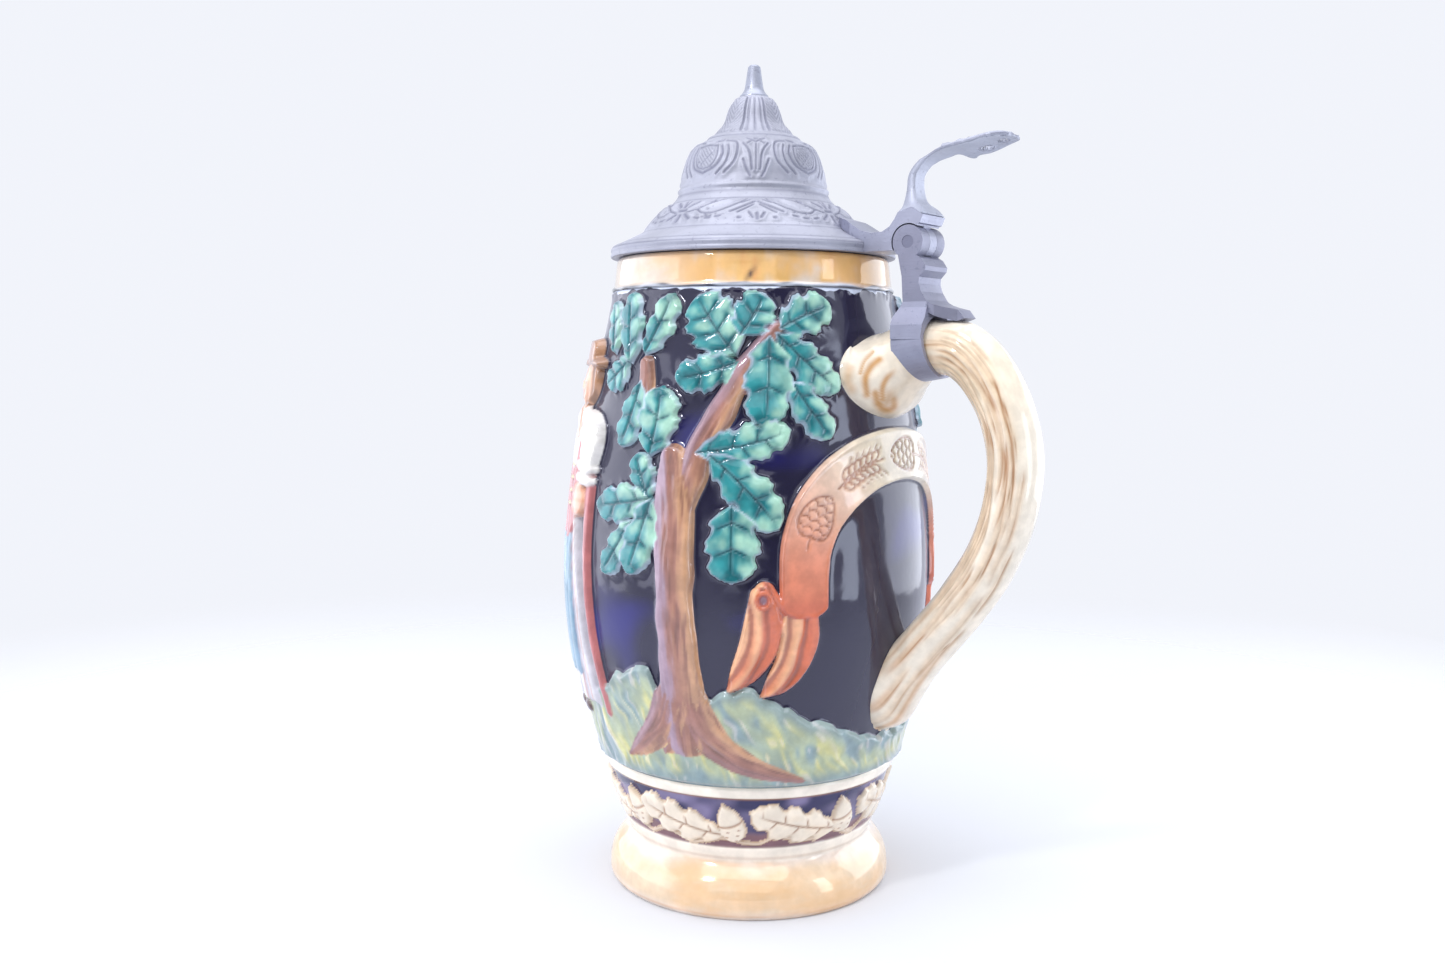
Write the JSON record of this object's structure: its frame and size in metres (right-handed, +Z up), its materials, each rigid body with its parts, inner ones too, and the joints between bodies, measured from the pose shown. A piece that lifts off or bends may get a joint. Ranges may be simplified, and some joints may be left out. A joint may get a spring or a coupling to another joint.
{
  "type": "lidded beer stein",
  "caption": "Barrel-shaped relief stoneware stein with a bent-branch handle and a stepped pewter lid that opens on a three-ring hinge by its thumb lift.",
  "frame": {"origin": "centre of the foot's underside, on the surface that the stein stands on", "axes": "+Z up along the mug's axis, +X from the mug's axis through the handle and the hinge, +Y along the hinge pin"},
  "size_m": [0.1359, 0.1008, 0.2246],
  "materials": {
    "relief_glaze": "glossy cobalt glaze with hand-painted relief",
    "handle_glaze": "glossy cream glaze with brown bark lines",
    "cover_pewter": "dull cast pewter",
    "finial_pewter": "dull cast pewter",
    "shank_pewter": "dull cast pewter",
    "lift_pewter": "dull cast pewter",
    "band_pewter": "dull cast pewter",
    "upright_pewter": "dull cast pewter",
    "plug_pewter": "dull cast pewter",
    "pin_steel": "drawn wire"
  },
  "bodies": {
    "mug": {"mug_body": "relief_glaze", "mug_handle": "handle_glaze", "handle_band": "band_pewter", "hinge_upright": "upright_pewter", "hinge_pin": "pin_steel", "pin_plug_left": "plug_pewter", "pin_plug_right": "plug_pewter"},
    "lid": {"lid_cover": "cover_pewter", "lid_finial": "finial_pewter", "lid_shank": "shank_pewter", "thumb_lift": "lift_pewter"}
  },
  "joints": [
    {"name": "lid_hinge", "type": "hinge", "parent": "mug", "child": "lid", "pos_m": [0.0512, 0, 0.1743], "axis": [0, 1, 0], "range_deg": [0, 90]}
  ]
}
